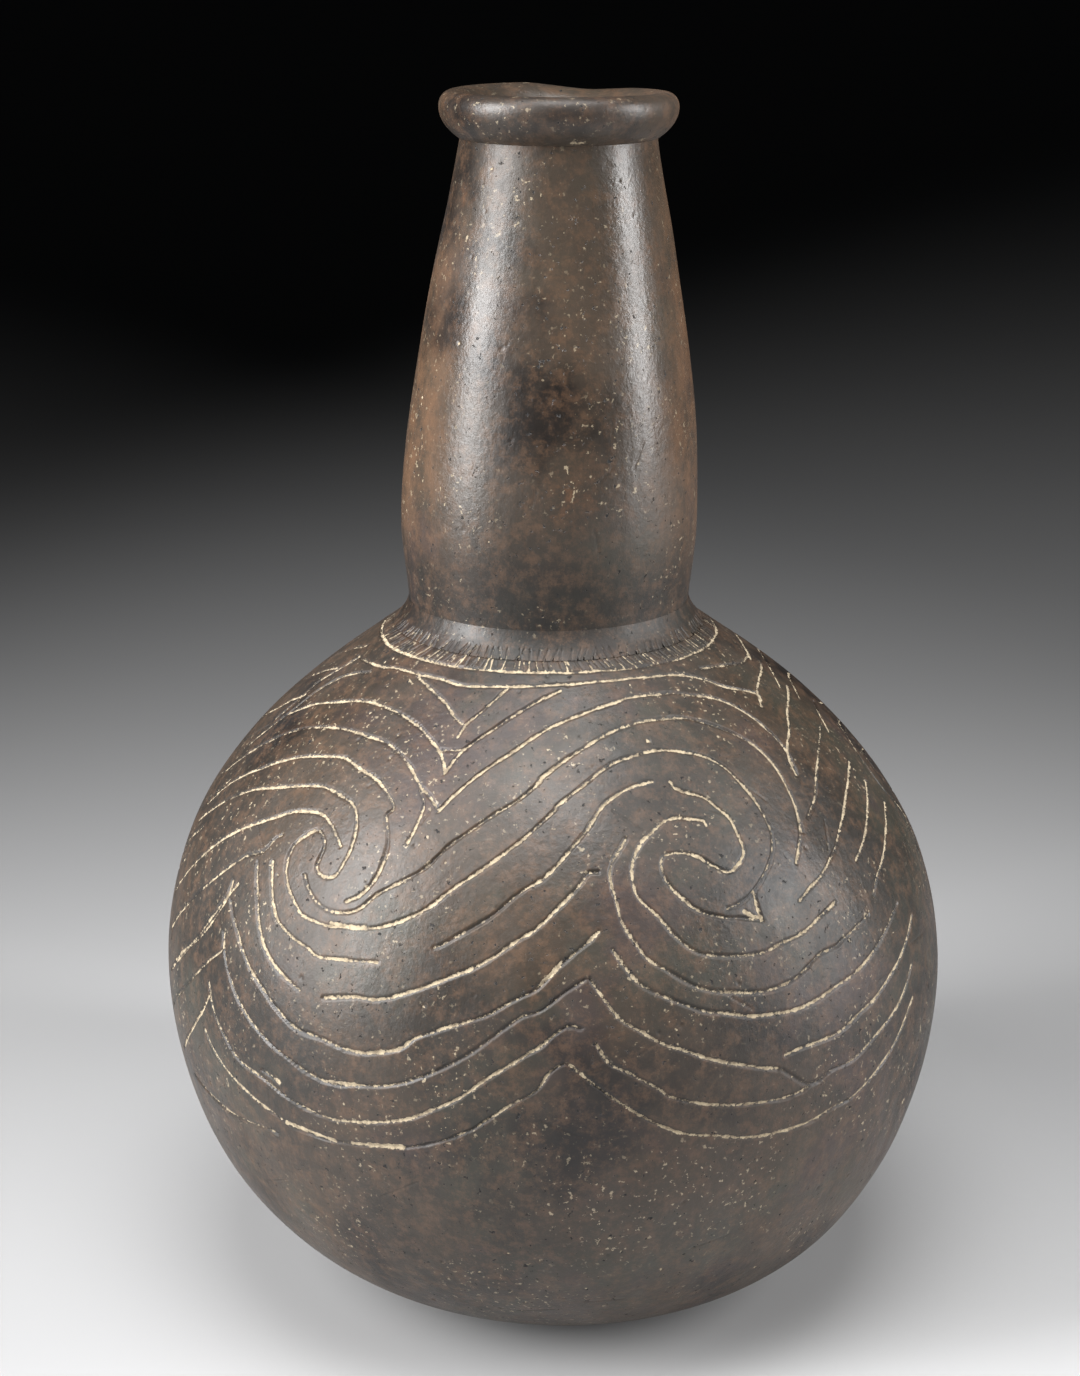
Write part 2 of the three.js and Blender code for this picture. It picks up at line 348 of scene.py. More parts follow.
def body_outline():
    lower = bezier(
        (FOOT_RADIUS, 0),
        (FOOT_RADIUS + FOOT_REACH * math.cos(FOOT_SLOPE), FOOT_REACH * math.sin(FOOT_SLOPE)),
        (BELLY_RADIUS, BELLY_HEIGHT - LOWER_BELLY_REACH),
        (BELLY_RADIUS, BELLY_HEIGHT),
    )
    upper = bezier(
        (BELLY_RADIUS, BELLY_HEIGHT),
        (BELLY_RADIUS, BELLY_HEIGHT + UPPER_BELLY_REACH),
        (NECK_BASE_RADIUS + SHOULDER_REACH * math.cos(SHOULDER_SLOPE),
         NECK_BASE_HEIGHT - SHOULDER_REACH * math.sin(SHOULDER_SLOPE)),
        (NECK_BASE_RADIUS, NECK_BASE_HEIGHT),
    )
    return evenly(np.vstack([lower, upper[1:]]), BODY_COILS * BODY_ROWS + 1)


def neck_outline():
    low_span = NECK_BULGE_HEIGHT - NECK_BASE_HEIGHT
    high_span = WAIST_HEIGHT - NECK_BULGE_HEIGHT
    lower = bezier(
        (NECK_BASE_RADIUS, NECK_BASE_HEIGHT),
        (NECK_BASE_RADIUS, NECK_BASE_HEIGHT + NECK_BASE_FULLNESS * low_span),
        (NECK_BULGE_RADIUS, NECK_BULGE_HEIGHT - NECK_BULGE_FULLNESS * low_span),
        (NECK_BULGE_RADIUS, NECK_BULGE_HEIGHT),
    )
    upper = bezier(
        (NECK_BULGE_RADIUS, NECK_BULGE_HEIGHT),
        (NECK_BULGE_RADIUS, NECK_BULGE_HEIGHT + NECK_BULGE_FULLNESS * high_span),
        (WAIST_RADIUS, WAIST_HEIGHT - NECK_WAIST_FULLNESS * high_span),
        (WAIST_RADIUS, WAIST_HEIGHT),
    )
    return evenly(np.vstack([lower, upper[1:]]), NECK_COILS * NECK_ROWS + 1)


def outward(outline):
    """Unit normals of an outline that runs upwards on the outside."""
    along = np.gradient(outline, axis=0)
    along /= np.linalg.norm(along, axis=1)[:, None]
    return np.column_stack([along[:, 1], -along[:, 0]])


body = body_outline()
neck = neck_outline()
body_normal = outward(body)
neck_normal = outward(neck)
body_length = lengths(body)[-1]
neck_length = lengths(neck)[-1]


def angles(columns):
    return np.arange(columns) / columns * 2 * math.pi - math.pi


def spin(outline, normal, columns, height):
    """Grid of points round the pot, raised along the normal by the height grid."""
    phi = angles(columns)
    radius = outline[:, :1] + normal[:, :1] * height
    z = outline[:, 1:] + normal[:, 1:] * height
    return np.stack([radius * np.cos(phi) + shift_at(z), radius * np.sin(phi), z], axis=-1)


def grid_normals(grid):
    """Outward unit normals of a grid that wraps round its columns."""
    up = np.gradient(grid, axis=0)
    around = np.roll(grid, -1, axis=1) - np.roll(grid, 1, axis=1)
    n = np.cross(around, up)
    return n / np.maximum(np.linalg.norm(n, axis=-1, keepdims=True), 1e-12)


def waves(columns, rows, turns, climbs, seed):
    """Slow undulation left by the potter's hands, from -1 to 0."""
    pick = np.random.default_rng(seed)
    phi = angles(columns)[None, :]
    v = np.linspace(0, 1, rows)[:, None]
    total = np.zeros((rows, columns))
    for k in range(1, turns + 1):
        a, b = pick.uniform(0, 2 * math.pi, 2)
        total += np.sin(k * phi + a + climbs * v * 3) * np.sin(climbs * k * v + b) / k
    total -= total.max()
    return total / max(-total.min(), 1e-9)


def surface_point(px):
    """Angle round the pot and length up its outline where a pixel falls on it, or passes it closest."""
    right = (px[0] - IMAGE_WIDTH / 2) / FOCAL_PX
    rise = (IMAGE_HEIGHT / 2 - px[1]) / FOCAL_PX
    c, s = math.cos(CAMERA_TILT), math.sin(CAMERA_TILT)
    ray = np.array([right, c + rise * s, -s + rise * c])
    t = np.linspace(RAY_NEAR, RAY_FAR, RAY_POINTS)[:, None]
    p = np.array([CAMERA_X, -CAMERA_BACK, CAMERA_HEIGHT]) + ray * t
    z = np.clip(p[:, 2], 0, NECK_BASE_HEIGHT)
    x = p[:, 0] - shift_at(z)
    gap = np.hypot(x, p[:, 1]) - np.interp(z, body[:, 1], body[:, 0])
    hits = np.nonzero(gap < 0)[0]
    i = hits[0] if len(hits) else int(np.argmin(gap))
    return math.atan2(p[i, 1], x[i]), float(np.interp(z[i], body[:, 1], lengths(body)))


def smooth_line(points, step):
    """Catmull-Rom line through the points, with points a step apart in metres."""
    p = np.array(points, float)
    p[:, 0] = np.unwrap(p[:, 0])
    ends = [2 * p[0] - p[1], *p, 2 * p[-1] - p[-2]]
    out = []
    for a, b, c, d in zip(ends, ends[1:], ends[2:], ends[3:]):
        t = np.linspace(0, 1, SPLINE_POINTS, endpoint=False)[:, None]
        out.append(0.5 * (2 * b + (c - a) * t + (2 * a - 5 * b + 4 * c - d) * t ** 2
                          + (3 * b - a - 3 * c + d) * t ** 3))
    line = np.vstack([*out, p[-1:]])
    flat = line * [np.interp(line[:, 1].mean(), lengths(body), body[:, 0]), 1]
    count = max(int(lengths(flat)[-1] / step), 2)
    return evenly(flat, count) / [flat[0, 0] / line[0, 0], 1]


def stamp(layers, line, half, depth, pigment, columns, row_step, radius_at):
    """Cuts a groove along a line of (angle, length up the outline) into the grids."""
    rows = layers["groove"].shape[0]
    column = (line[:, 0] + math.pi) / (2 * math.pi) * columns
    row = line[:, 1] / row_step
    for dr in range(-STAMP_REACH, STAMP_REACH + 1):
        r = np.round(row).astype(int) + dr
        ok = (r >= 0) & (r < rows)
        rr = np.clip(r, 0, rows - 1)
        width = radius_at[rr] * 2 * math.pi / columns
        spread = int(STAMP_REACH * max(1, row_step / width.min()))
        for dc in range(-spread, spread + 1):
            q = np.round(column).astype(int) + dc
            away = np.hypot((q - column) * width, (r - row) * row_step)
            cut = np.clip(1 - (away / half) ** 2, 0, 1) * depth * ok
            fill = np.clip(PIGMENT_EDGE - away / half, 0, 1) * pigment * ok
            np.maximum.at(layers["groove"], (rr, q % columns), cut)
            np.maximum.at(layers["pigment"], (rr, q % columns), fill)


def wander(count, lumps, low, high):
    """Slowly changing random values along a line."""
    knots = rng.uniform(low, high, max(int(lumps), 2) + 1)
    return np.interp(np.linspace(0, 1, count), np.linspace(0, 1, len(knots)), knots)


def engrave(layers, points, half=GROOVE_HALF, depth=GROOVE_DEPTH, full=1.0):
    """One hand-cut line, uneven in width and depth, with pigment left in most of it."""
    line = smooth_line(points, LINE_STEP)
    n = len(line)
    line[:, 1] += wander(n, n / 14, -LINE_WANDER, LINE_WANDER)
    size = half * wander(n, n / 7, *WIDTH_RANGE)
    deep = depth * wander(n, n / 12, *DEPTH_RANGE)
    left = wander(n, n / 50, *PIGMENT_SLOW_RANGE) * wander(n, n / 6, *PIGMENT_QUICK_RANGE)
    left = np.clip(left, 0, 1) * full
    stamp(layers, line, size, deep, left, BODY_COLUMNS, body_length / (len(body) - 1), body[:, 0])


def front_angle(phi):
    """Angle from the side that the camera sees."""
    return (phi + math.pi / 2 + math.pi) % (2 * math.pi) - math.pi


def runs(points, keep):
    """Stretches of a line whose points are all kept."""
    run, out = [], []
    for p in points:
        if keep(front_angle(p[0])):
            run.append(p)
        else:
            out.append(run)
            run = []
    return [r for r in [*out, run] if len(r) > 1]


def engrave_body(layers):
    """The traced front, and behind it the same scroll and loops again."""
    def place(lines):
        return [[surface_point(px) for px in line] for line in lines.values()]
    unit = place(LEFT_LOOPS_PX) + place(RISING_PX) + place(RIGHT_SCROLL_PX)
    front = unit + place(LEFT_SCROLL_PX) + place(LEFT_EDGE_PX)
    front += place(RIGHT_LOOPS_PX) + place(RIGHT_EDGE_PX)
    for line in front:
        for run in runs(line, lambda a: abs(a) < FRONT_HALF):
            engrave(layers, run)
    for line in place(BLOBS_PX):
        engrave(layers, line, BLOB_HALF, BLOB_DEPTH, BLOB_PIGMENT)
    for k in range(1, UNITS_BEHIND + 1):
        for line in unit:
            turned = [(phi + k * UNIT_ANGLE, s) for phi, s in line]
            for run in runs(turned, lambda a: abs(a) >= BEHIND_FROM):
                engrave(layers, run)


def stroke_angle(k, strokes):
    """Angle of stroke k of those spaced round the pot by hand."""
    return -math.pi + (k + rng.uniform(-STROKE_JITTER, STROKE_JITTER)) / strokes * 2 * math.pi


def engrave_collar(layers):
    """Two rings and the short slanting strokes between them, round the base of the neck."""
    top = body_length - FILLET_ON_SHOULDER
    turn = np.linspace(-math.pi, math.pi, COLLAR_TURN_POINTS)
    low = top - COLLAR_WIDTH
    engrave(layers, [(a, low + COLLAR_SWAY * math.sin(3 * a)) for a in turn])
    for k in range(COLLAR_STROKES):
        a = stroke_angle(k, COLLAR_STROKES)
        lean = STROKE_LEAN * math.sin(2 * a + STROKE_LEAN_PHASE)
        lean += rng.uniform(-STROKE_LEAN_JITTER, STROKE_LEAN_JITTER)
        stroke = [(a, low), (a + lean / 2, low + STROKE_BEND), (a + lean, top + STROKE_PAST_TOP)]
        engrave(layers, stroke, STROKE_HALF, STROKE_DEPTH, rng.uniform(*STROKE_PIGMENT_RANGE))
    top_ring = body_length - FILLET_ON_SHOULDER * COLLAR_TOP_SHARE
    engrave(layers, [(a, top_ring) for a in turn], STROKE_HALF, TOP_RING_DEPTH, TOP_RING_PIGMENT)


def wear(layers, count, columns, row_step, outline, scratches):
    """Pits where temper fell out, and short scratches."""
    length = lengths(outline)[-1]
    for _ in range(count):
        a = rng.uniform(-math.pi, math.pi)
        at = np.array([[a, rng.uniform(*PIT_PLACE_RANGE) * length]])
        size = np.array([rng.uniform(*PIT_HALF_RANGE) * rng.uniform(*PIT_HALF_SPREAD)])
        fill = PIT_PIGMENT if rng.uniform() < PITS_FILLED else 0
        stamp(layers, at, size, size * PIT_DEPTH_SHARE, fill, columns, row_step, outline[:, 0])
    for _ in range(scratches):
        a = rng.uniform(-math.pi, math.pi)
        s = rng.uniform(*SCRATCH_PLACE_RANGE) * length
        turn = rng.uniform(-SCRATCH_TURN, SCRATCH_TURN)
        climb = rng.uniform(-SCRATCH_CLIMB, SCRATCH_CLIMB)
        line = np.linspace((a, s), (a + turn, s + climb), SCRATCH_POINTS)
        stamp(layers, line, SCRATCH_HALF, SCRATCH_DEPTH, SCRATCH_PIGMENT, columns, row_step,
              outline[:, 0])


def material(name):
    m = bpy.data.materials.new(name)
    m.use_nodes = True
    return m, m.node_tree, m.node_tree.nodes["Principled BSDF"]


def noise(tree, scale, detail=6.0, rough=0.6, stretch=(1, 1, 1), offset=0.0):
    """Noise in the object's own space, from 0 to 1."""
    place = tree.nodes.new("ShaderNodeTexCoord")
    moved = tree.nodes.new("ShaderNodeMapping")
    moved.inputs["Scale"].default_value = stretch
    moved.inputs["Location"].default_value = (offset, offset, offset)
    n = tree.nodes.new("ShaderNodeTexNoise")
    n.inputs["Scale"].default_value = scale
    n.inputs["Detail"].default_value = detail
    n.inputs["Roughness"].default_value = rough
    tree.links.new(place.outputs["Object"], moved.inputs["Vector"])
    tree.links.new(moved.outputs["Vector"], n.inputs["Vector"])
    return n.outputs["Fac"]


def ramp(tree, value, low, high, start=0.0, end=1.0):
    """Smooth step of a value between low and high."""
    m = tree.nodes.new("ShaderNodeMapRange")
    m.interpolation_type = "SMOOTHSTEP"
    for socket, number in (("From Min", low), ("From Max", high), ("To Min", start), ("To Max", end)):
        m.inputs[socket].default_value = number
    tree.links.new(value, m.inputs["Value"])
    return m.outputs["Result"]


def maths(tree, kind, a, b):
    m = tree.nodes.new("ShaderNodeMath")
    m.operation = kind
    m.use_clamp = True
    for socket, value in zip(m.inputs, (a, b)):
        if isinstance(value, (int, float)):
            socket.default_value = value
        else:
            tree.links.new(value, socket)
    return m.outputs[0]


def times(tree, value, factor):
    return maths(tree, "MULTIPLY", value, factor)


def patches(tree, scale, low, high, strength=1.0, detail=6.0, rough=0.6, offset=0.0):
    """Soft-edged patches, from 0 where the noise is below low to the strength where it is above high."""
    return ramp(tree, noise(tree, scale, detail, rough, offset=offset), low, high, 0, strength)


def attribute(tree, name):
    node = tree.nodes.new("ShaderNodeAttribute")
    node.attribute_name = name
    return node.outputs["Fac"]


def blend_colour(tree, factor, a, b):
    m = tree.nodes.new("ShaderNodeMix")
    m.data_type = "RGBA"
    tree.links.new(factor, m.inputs["Factor"])
    for socket, value in ((m.inputs[6], a), (m.inputs[7], b)):
        if isinstance(value, tuple):
            socket.default_value = (*value, 1)
        else:
            tree.links.new(value, socket)
    return m.outputs[2]


# Linear colours read from the photograph
CLAY_DARK = (0.020, 0.017, 0.014)
CLAY_BROWN = (0.050, 0.037, 0.027)
CLAY_PALE = (0.085, 0.064, 0.048)
CLAY_TAN = (0.170, 0.095, 0.055)
CLAY_ORANGE = (0.260, 0.115, 0.052)
CLAY_GREEN_GREY = (0.042, 0.041, 0.031)
CLAY_PURPLE = (0.046, 0.031, 0.029)
# Near-black of the smoke clouds, the dark foot of the neck and the pits, also used for the painted shade
# in the grooves
SMUDGE_AND_PAINTED_SHADE = (0.009, 0.008, 0.008)
PIGMENT = (0.500, 0.410, 0.280)
PIGMENT_DIRTY = (0.240, 0.190, 0.130)

# Heights between which the clay changes, and distances from the middle where its sides turn tan
PALE_NECK = (0.145, 0.185)
RED_SPOTS = (0.12, 0.20)
DARK_FOOT_OF_NECK = (0.138, 0.146)
DARK_FOOT_ENDS = (0.166, 0.150)
TAN_SIDES = (0.016, 0.028)

# Shares of a stain's colour and of the painted shade in the grooves, and depth of the fine relief
PALE_NECK_SHARE = 0.45
TAN_SIDES_SHARE = 0.8
RED_SPOTS_BELOW_NECK = 0.12
DARK_FOOT_SHARE = 0.55
SPECKS_SHARE = 0.7
GROOVE_SHADE_SHARE = 0.65
RELIEF_STRENGTH = 0.6
RELIEF_DEPTH = 0.0005


def clay_stains(tree, height, sideways, neck_share):
    """Colour of the bare clay: clouds of several browns and greys, redder and paler up the neck."""
    cloud = patches(tree, scale=17, low=0.38, high=0.62, detail=7, rough=0.62)
    colour = blend_colour(tree, cloud, CLAY_DARK, CLAY_BROWN)
    green = patches(tree, scale=26, low=0.50, high=0.66, strength=0.7, offset=3.1)
    colour = blend_colour(tree, green, colour, CLAY_GREEN_GREY)
    purple = patches(tree, scale=31, low=0.52, high=0.66, strength=0.7, offset=15.3)
    colour = blend_colour(tree, purple, colour, CLAY_PURPLE)
    colour = blend_colour(tree, times(tree, neck_share, PALE_NECK_SHARE), colour, CLAY_PALE)
    sides = times(tree, ramp(tree, sideways, *TAN_SIDES), neck_share)
    mottled = patches(tree, scale=75, low=0.36, high=0.62, detail=8, rough=0.75, offset=7.7)
    tan = times(tree, times(tree, sides, mottled), TAN_SIDES_SHARE)
    colour = blend_colour(tree, tan, colour, CLAY_TAN)
    fire = patches(tree, scale=48, low=0.58, high=0.74, strength=0.5, detail=10, rough=0.78, offset=12.4)
    fire = times(tree, fire, ramp(tree, height, *RED_SPOTS, RED_SPOTS_BELOW_NECK, 1))
    colour = blend_colour(tree, fire, colour, CLAY_ORANGE)
    smoke = patches(tree, scale=24, low=0.54, high=0.68, strength=0.85, detail=5, rough=0.55, offset=21.9)
    colour = blend_colour(tree, smoke, colour, SMUDGE_AND_PAINTED_SHADE)
    foot = times(tree, ramp(tree, height, *DARK_FOOT_OF_NECK), ramp(tree, height, *DARK_FOOT_ENDS))
    colour = blend_colour(tree, times(tree, foot, DARK_FOOT_SHARE), colour, SMUDGE_AND_PAINTED_SHADE)
    mottle = patches(tree, scale=300, low=0.44, high=0.66, strength=0.38, detail=8, rough=0.8)
    return blend_colour(tree, mottle, colour, CLAY_TAN)


def specked(tree, colour, pits):
    """The colour with dusty specks of pigment, dark pits and painted shade in the grooves."""
    dusty = patches(tree, scale=45, low=0.42, high=0.64, detail=5, offset=2.2)
    specks = times(tree, patches(tree, scale=900, low=0.62, high=0.68, detail=3, offset=5.5), dusty)
    colour = blend_colour(tree, times(tree, specks, SPECKS_SHARE), colour, PIGMENT)
    colour = blend_colour(tree, pits, colour, SMUDGE_AND_PAINTED_SHADE)
    # Painted shade: the grooves are darkened by their depth, read from the carved attribute
    groove_shade = times(tree, attribute(tree, "carved"), GROOVE_SHADE_SHARE)
    return blend_colour(tree, groove_shade, colour, SMUDGE_AND_PAINTED_SHADE)


def clay_gloss(tree, neck_share, cream, pits):
    """Roughness of the burnished clay: polish marks up the pot, glossier neck, dull pigment and pits."""
    marks = noise(tree, 70, 6, 0.65, (1, 1, 0.15), 4.4)
    gloss = ramp(tree, marks, 0.3, 0.7, 0.36, 0.50)
    gloss = maths(tree, "SUBTRACT", gloss, times(tree, neck_share, 0.10))
    dull = patches(tree, scale=19, low=0.45, high=0.65, strength=0.12, detail=4, rough=0.5, offset=33.0)
    gloss = maths(tree, "ADD", gloss, dull)
    gloss = maths(tree, "ADD", gloss, times(tree, cream, 0.45))
    return maths(tree, "ADD", gloss, times(tree, pits, 0.3))


def clay_relief(tree, pits):
    """Fine grain, upright polish marks and pits."""
    grain = times(tree, noise(tree, 650, 5, 0.65), 0.4)
    marks = times(tree, noise(tree, 110, 5, 0.55, (1, 1, 0.25), 1.4), 0.6)
    surface = maths(tree, "SUBTRACT", maths(tree, "ADD", grain, marks), times(tree, pits, 0.5))
    relief = tree.nodes.new("ShaderNodeBump")
    relief.inputs["Strength"].default_value = RELIEF_STRENGTH
    relief.inputs["Distance"].default_value = RELIEF_DEPTH
    tree.links.new(surface, relief.inputs["Height"])
    return relief.outputs["Normal"]


def clay():
    """Burnished, smoke-stained clay, with ragged cream pigment where the pigment attribute asks for it."""
    m, tree, shader = material("burnished_clay")
    place = tree.nodes.new("ShaderNodeTexCoord")
    parts = tree.nodes.new("ShaderNodeSeparateXYZ")
    tree.links.new(place.outputs["Object"], parts.inputs[0])
    height = parts.outputs["Z"]
    sideways = tree.nodes.new("ShaderNodeMath")
    sideways.operation = "ABSOLUTE"
    tree.links.new(parts.outputs["X"], sideways.inputs[0])
    neck_share = ramp(tree, height, *PALE_NECK)
    pits = patches(tree, scale=800, low=0.66, high=0.71, detail=3, offset=9.5)
    colour = clay_stains(tree, height, sideways.outputs[0], neck_share)
    colour = specked(tree, colour, pits)
    crumbled = patches(tree, scale=1100, low=0.35, high=0.66, strength=0.55, detail=5, rough=0.75)
    cream = ramp(tree, maths(tree, "SUBTRACT", attribute(tree, "pigment"), crumbled), 0.20, 0.44)
    clean = patches(tree, scale=700, low=0.35, high=0.60, detail=4, rough=0.7, offset=1.7)
    colour = blend_colour(tree, cream, colour, blend_colour(tree, clean, PIGMENT_DIRTY, PIGMENT))
    tree.links.new(colour, shader.inputs["Base Color"])
    tree.links.new(clay_gloss(tree, neck_share, cream, pits), shader.inputs["Roughness"])
    tree.links.new(clay_relief(tree, pits), shader.inputs["Normal"])
    return m


def closed_ring(name, grid, outer_rows, outer_normals, layers, finish):
    """One coil as a closed ring. The first rows of the grid are its outside, the rest its inside."""
    rows, columns = grid.shape[:2]
    index = np.arange(rows * columns).reshape(rows, columns)
    right = np.roll(index, -1, axis=1)
    up = np.roll(index, -1, axis=0)
    corner = np.roll(right, -1, axis=0)
    faces = np.stack([index, right, corner, up], axis=-1).reshape(-1, 4)
    mesh = bpy.data.meshes.new(name)
    mesh.vertices.add(rows * columns)
    mesh.vertices.foreach_set("co", grid.astype(np.float32).ravel())
    mesh.loops.add(faces.size)
    mesh.loops.foreach_set("vertex_index", faces.astype(np.int32).ravel())
    mesh.polygons.add(len(faces))
    mesh.polygons.foreach_set("loop_start", np.arange(0, faces.size, 4, dtype=np.int32))
    mesh.update(calc_edges=True)
    mesh.polygons.foreach_set("use_smooth", np.ones(len(faces), bool))
    for key in ("pigment", "carved"):
        values = np.zeros((rows, columns), np.float32)
        values[:outer_rows] = layers[key]
        mesh.attributes.new(key, "FLOAT", "POINT").data.foreach_set("value", values.ravel())
    normals = -grid_normals(grid)
    normals[:outer_rows] = outer_normals
    mesh.normals_split_custom_set_from_vertices(normals.reshape(-1, 3))
    mesh.materials.append(finish)
    piece = bpy.data.objects.new(name, mesh)
    bpy.context.scene.collection.objects.link(piece)
    return piece


def stand_for(piece, node):
    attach(piece, "root")
    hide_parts(node)


def inner_rows(outline, normal, low, high, lap, ends):
    """Rows down the inside of a coil, between its two joints. An end that is given takes that place."""
    length = lengths(outline)
    offset = outline - normal * WALL
    bottom, top = ends
    start = length[high] + (lap if top is None else 0)
    stop = length[low] + (lap if bottom is None else 0)
    at = np.linspace(start, stop, INNER_ROWS)
    rows = np.column_stack([np.interp(at, length, offset[:, k]) for k in (0, 1)])
    if top is not None:
        rows[0] = top
    if bottom is not None:
        rows[-1] = bottom
    return rows


def spin_rows(rows, columns):
    return spin(rows, np.zeros_like(rows), columns, np.zeros((len(rows), columns)))


def make_coils(part, outline, normal, coils, rows, columns, layers, height, lap, first, last, plain):
    """Every coil of the body or of the neck, cut from one whole surface so that no seam shows."""
    whole = spin(outline, normal, columns, height)
    facing = grid_normals(whole)
    for k in range(coils):
        low, high = k * rows, (k + 1) * rows
        ends = (first if k == 0 else None, last if k == coils - 1 else None)
        inside = spin_rows(inner_rows(outline, normal, low, high, lap, ends), columns)
        grid = np.vstack([whole[low:high + 1], inside])
        own = {key: layers[key][low:high + 1] for key in ("pigment", "carved")}
        near = facing[low:high + 1]
        if k < plain:
            kept = [*range(0, rows + 1, PLAIN_STEP), *range(rows + 1, len(grid))]
            grid = grid[kept][:, ::PLAIN_STEP]
            near = near[::PLAIN_STEP, ::PLAIN_STEP]
            own = {key: own[key][::PLAIN_STEP, ::PLAIN_STEP] for key in own}
        node = f"{part}_coil_{k + 1:02d}"
        piece = closed_ring("clay_" + node, grid, len(near), near, own, finish_clay)
        stand_for(piece, node)


def empty_layers(rows, columns):
    return {"groove": np.zeros((rows, columns)), "pigment": np.zeros((rows, columns))}


def settle(layers):
    """Height of the surface: grooves sink, and the pigment in them fills part of the depth."""
    filled = np.clip(layers["pigment"], 0, 1)
    # carved, the groove depth from 0 to 1, is the mask for the painted shade in the grooves
    layers["carved"] = np.clip(layers["groove"] / GROOVE_DEPTH, 0, 1)
    return -layers["groove"] * (1 - PIGMENT_IN_DEPTH * filled)


finish_clay = clay()

neck_base_inside = (
    NECK_BASE_RADIUS - WALL,
    NECK_BASE_HEIGHT - WALL * (1 - math.sin(SHOULDER_SLOPE)) / math.cos(SHOULDER_SLOPE),
)
waist_inside = (WAIST_RADIUS - WALL, WAIST_HEIGHT)
foot_inside = tuple(body[0] - body_normal[0] * WALL)


def fade_at_ends(rows, width):
    """Column that rises from 0 at both ends of the rows to 1 between them."""
    row = np.arange(rows)
    return np.clip(np.minimum(row, rows - 1 - row) / width, 0, 1)[:, None]


def make_body():
    """Coils of the body, with the design, the collar and the wear cut into them."""
    rows = len(body)
    layers = empty_layers(rows, BODY_COLUMNS)
    engrave_body(layers)
    engrave_collar(layers)
    wear(layers, BODY_PITS, BODY_COLUMNS, body_length / (rows - 1), body, BODY_SCRATCHES)
    hands = waves(BODY_COLUMNS, rows, turns=9, climbs=7, seed=5)
    height = settle(layers) + UNDULATION * fade_at_ends(rows, BODY_FADE) * hands
    make_coils("body", body, body_normal, BODY_COILS, BODY_ROWS, BODY_COLUMNS, layers, height,
               LAP, foot_inside, neck_base_inside, PLAIN_COILS)


def make_neck():
    """Coils of the neck, worn but not engraved."""
    rows = len(neck)
    layers = empty_layers(rows, NECK_COLUMNS)
    wear(layers, NECK_PITS, NECK_COLUMNS, neck_length / (rows - 1), neck, NECK_SCRATCHES)
    hands = waves(NECK_COLUMNS, rows, turns=4, climbs=4, seed=8)
    height = settle(layers) + UNDULATION * fade_at_ends(rows, NECK_FADE) * hands
    make_coils("neck", neck, neck_normal, NECK_COILS, NECK_ROWS, NECK_COLUMNS, layers, height,
               -LAP, neck_base_inside, waist_inside, 0)


def make_rim():
    """Rolled lip, a little wavy along its crest."""
    waist = (WAIST_RADIUS, WAIST_HEIGHT)
    widest = (LIP_RADIUS, LIP_WIDEST_HEIGHT)
    crest = (LIP_CREST_RADIUS, TOTAL_HEIGHT)
    outer = np.vstack([
        bezier(waist, (WAIST_RADIUS + CORNER_UNDER_LIP[0], WAIST_HEIGHT + CORNER_UNDER_LIP[1]),
               (LIP_RADIUS, LIP_WIDEST_HEIGHT - REACH_UNDER_LIP), widest, UNDER_LIP_ROWS),
        bezier(widest, (LIP_RADIUS, LIP_WIDEST_HEIGHT + REACH_OVER_LIP),
               (LIP_CREST_RADIUS + CREST_REACH_OUT, TOTAL_HEIGHT), crest, OVER_LIP_ROWS)[1:],
        bezier(crest, (LIP_CREST_RADIUS - CREST_REACH_IN, TOTAL_HEIGHT),
               (waist_inside[0], WAIST_HEIGHT + MOUTH_REACH), waist_inside, MOUTH_ROWS)[1:],
    ])
    grid = spin_rows(outer, NECK_COLUMNS)
    phi = angles(NECK_COLUMNS)
    share = np.clip((outer[:, 1:] - WAIST_HEIGHT) / (TOTAL_HEIGHT - WAIST_HEIGHT), 0, 1)
    dip = np.interp(phi, np.radians(RIM_DIP_AT_DEGREES), RIM_DIP_MM, period=2 * math.pi) / 1000
    for _ in range(RIM_DIP_SMOOTHING):
        dip = (np.roll(dip, 1) + 2 * dip + np.roll(dip, -1)) / 4
    grid[..., 2] -= share * dip
    off_corner = np.abs(outer[:, 1:] - WAIST_HEIGHT - LIP_PATCH_RISE)
    near_corner = np.clip(1 - off_corner / LIP_PATCH_HALF, 0, 1)
    near_corner *= outer[:, :1] > WAIST_RADIUS - LIP_PATCH_INNER_EDGE
    patch = np.clip(np.sin(9 * phi + 2) + np.sin(17 * phi) - 0.2, 0, 1)
    patch *= np.exp(-((phi - LIP_PATCH_ANGLE) / LIP_PATCH_SPREAD) ** 2)
    layers = {
        "pigment": near_corner * patch * LIP_PATCH_PIGMENT,
        "carved": np.zeros(grid.shape[:2]),
    }
    piece = closed_ring("clay_rim_coil", grid, len(outer), grid_normals(grid), layers, finish_clay)
    stand_for(piece, "rim_coil")


